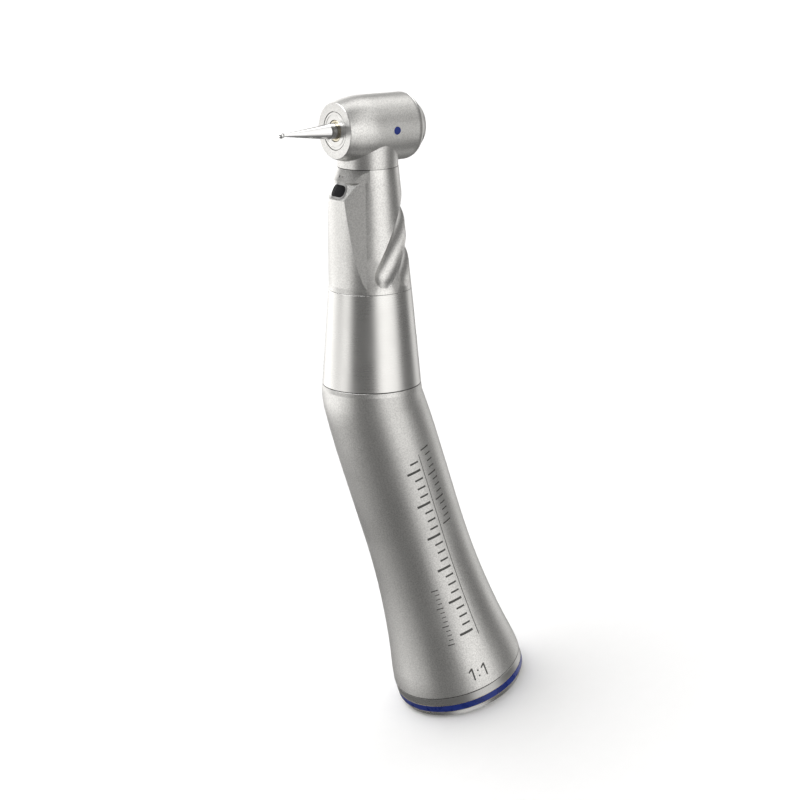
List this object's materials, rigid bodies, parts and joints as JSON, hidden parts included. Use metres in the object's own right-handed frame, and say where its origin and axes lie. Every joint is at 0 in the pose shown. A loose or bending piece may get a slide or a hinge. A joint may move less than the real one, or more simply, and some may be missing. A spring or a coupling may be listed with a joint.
{
  "type": "contra angle dental handpiece",
  "caption": "Bent satin steel dental contra angle handpiece with a flared handle, blue end ring, fluted neck, light window and a push-button head that holds a round bur.",
  "frame": {"origin": "centre of the rear coupling mouth, in the plane of the rear face", "axes": "+Z along the handle axis towards the head, the neck leans to +X and the bur points to -X, the XZ plane is the mirror plane of the outer form"},
  "size_m": [0.0324, 0.0208, 0.098],
  "materials": {
    "satin_steel": "fine bead blasted, warm grey",
    "fine_satin_steel": "smooth satin, finely turned",
    "turned_steel": "turned, slightly darker",
    "polished_steel": "polished",
    "hard_steel": "ground and hardened",
    "spring_steel": "drawn wire",
    "bearing_steel": "ground and polished",
    "tube_steel": "drawn tube",
    "gold_nitride": "thin yellow hard coating on steel",
    "blue_enamel": "deep blue, glossy",
    "guide_glass": "fused fibre rod",
    "window_glass": "dark polished window"
  },
  "bodies": {
    "root": {"rear_housing": "satin_steel", "rear_end_ring": "turned_steel", "colour_ring": "blue_enamel", "coupling_sleeve": "turned_steel", "coupling_ring": "spring_steel", "shaft_carrier": "turned_steel", "neck_carrier": "turned_steel", "middle_sleeve": "fine_satin_steel", "neck_shell": "satin_steel", "light_window": "window_glass", "window_bezel": "polished_steel", "light_guide": "guide_glass", "water_tube": "tube_steel", "air_tube": "tube_steel", "head_housing": "satin_steel", "ratio_dots": "blue_enamel", "head_seal": "polished_steel", "back_cap": "fine_satin_steel", "button_spring": "spring_steel", "rear_bearing_outer": "bearing_steel", "mid_bearing_outer": "bearing_steel", "neck_bearing_outer": "bearing_steel", "front_bearing_outer": "bearing_steel", "lower_head_bearing_outer": "bearing_steel", "upper_head_bearing_outer": "bearing_steel"},
    "rear_drive": {"rear_shaft": "hard_steel", "rear_gear": "hard_steel", "dog_pin": "hard_steel", "dog_spring": "spring_steel", "rear_bearing_inner": "bearing_steel", "mid_bearing_inner": "bearing_steel"},
    "dog": {"drive_dog": "hard_steel"},
    "neck_drive": {"neck_shaft": "hard_steel", "neck_rear_gear": "hard_steel", "neck_front_gear": "hard_steel", "neck_bearing_inner": "bearing_steel", "front_bearing_inner": "bearing_steel"},
    "bur_spindle": {"spindle": "hard_steel", "spindle_gear": "hard_steel", "bur_guide_bush": "gold_nitride", "chuck_body": "hard_steel", "chuck_claws": "hard_steel", "chuck_garter": "spring_steel", "lower_head_bearing_inner": "bearing_steel", "upper_head_bearing_inner": "bearing_steel"},
    "bur_tool": {"bur": "polished_steel"},
    "button": {"push_button": "fine_satin_steel"},
    "rear_bearing_cage": {"rear_bearing_balls": "bearing_steel"},
    "mid_bearing_cage": {"mid_bearing_balls": "bearing_steel"},
    "neck_bearing_cage": {"neck_bearing_balls": "bearing_steel"},
    "front_bearing_cage": {"front_bearing_balls": "bearing_steel"},
    "lower_head_bearing_cage": {"lower_head_bearing_balls": "bearing_steel"},
    "upper_head_bearing_cage": {"upper_head_bearing_balls": "bearing_steel"}
  },
  "joints": [
    {"name": "rear_shaft_spin", "type": "hinge", "parent": "root", "child": "rear_drive", "pos_m": [0, 0, 0.05355], "axis": [0, 0, 1], "continuous": true},
    {"name": "dog_slide", "type": "slide", "parent": "rear_drive", "child": "dog", "axis": [0, 0, 1], "range_m": [0, 0.0012], "stiffness_N_per_m": 400, "springref_m": -0.0008, "deforming": ["dog_spring"]},
    {"name": "neck_shaft_spin", "type": "hinge", "parent": "root", "child": "neck_drive", "pos_m": [0, 0, 0.05355], "axis": [0.3186, 0, 0.9479], "continuous": true},
    {"name": "spindle_spin", "type": "hinge", "parent": "root", "child": "bur_spindle", "pos_m": [0.00744, 0, 0.09409], "axis": [0.9403, 0, -0.3404], "continuous": true},
    {"name": "bur_release", "type": "slide", "parent": "bur_spindle", "child": "bur_tool", "axis": [-0.9403, 0, 0.3404], "range_m": [0, 0.014]},
    {"name": "button_press", "type": "slide", "parent": "root", "child": "button", "axis": [-0.9403, 0, 0.3404], "range_m": [0, 0.00055], "stiffness_N_per_m": 2000, "springref_m": -0.0006, "deforming": ["button_spring"]},
    {"name": "rear_bearing_cage_spin", "type": "hinge", "parent": "root", "child": "rear_bearing_cage", "pos_m": [0, 0, 0.05355], "axis": [0, 0, 1], "continuous": true},
    {"name": "mid_bearing_cage_spin", "type": "hinge", "parent": "root", "child": "mid_bearing_cage", "pos_m": [0, 0, 0.05355], "axis": [0, 0, 1], "continuous": true},
    {"name": "neck_bearing_cage_spin", "type": "hinge", "parent": "root", "child": "neck_bearing_cage", "pos_m": [0, 0, 0.05355], "axis": [0.3186, 0, 0.9479], "continuous": true},
    {"name": "front_bearing_cage_spin", "type": "hinge", "parent": "root", "child": "front_bearing_cage", "pos_m": [0, 0, 0.05355], "axis": [0.3186, 0, 0.9479], "continuous": true},
    {"name": "lower_head_bearing_cage_spin", "type": "hinge", "parent": "root", "child": "lower_head_bearing_cage", "pos_m": [0.00744, 0, 0.09409], "axis": [0.9403, 0, -0.3404], "continuous": true},
    {"name": "upper_head_bearing_cage_spin", "type": "hinge", "parent": "root", "child": "upper_head_bearing_cage", "pos_m": [0.00744, 0, 0.09409], "axis": [0.9403, 0, -0.3404], "continuous": true}
  ],
  "couplings": [
    {"joint": "neck_shaft_spin", "follows": "rear_shaft_spin", "ratio": 1},
    {"joint": "spindle_spin", "follows": "rear_shaft_spin", "ratio": 1},
    {"joint": "rear_bearing_cage_spin", "follows": "rear_shaft_spin", "ratio": 0.389},
    {"joint": "mid_bearing_cage_spin", "follows": "rear_shaft_spin", "ratio": 0.389},
    {"joint": "neck_bearing_cage_spin", "follows": "rear_shaft_spin", "ratio": 0.389},
    {"joint": "front_bearing_cage_spin", "follows": "rear_shaft_spin", "ratio": 0.389},
    {"joint": "lower_head_bearing_cage_spin", "follows": "rear_shaft_spin", "ratio": 0.389},
    {"joint": "upper_head_bearing_cage_spin", "follows": "rear_shaft_spin", "ratio": 0.389}
  ]
}
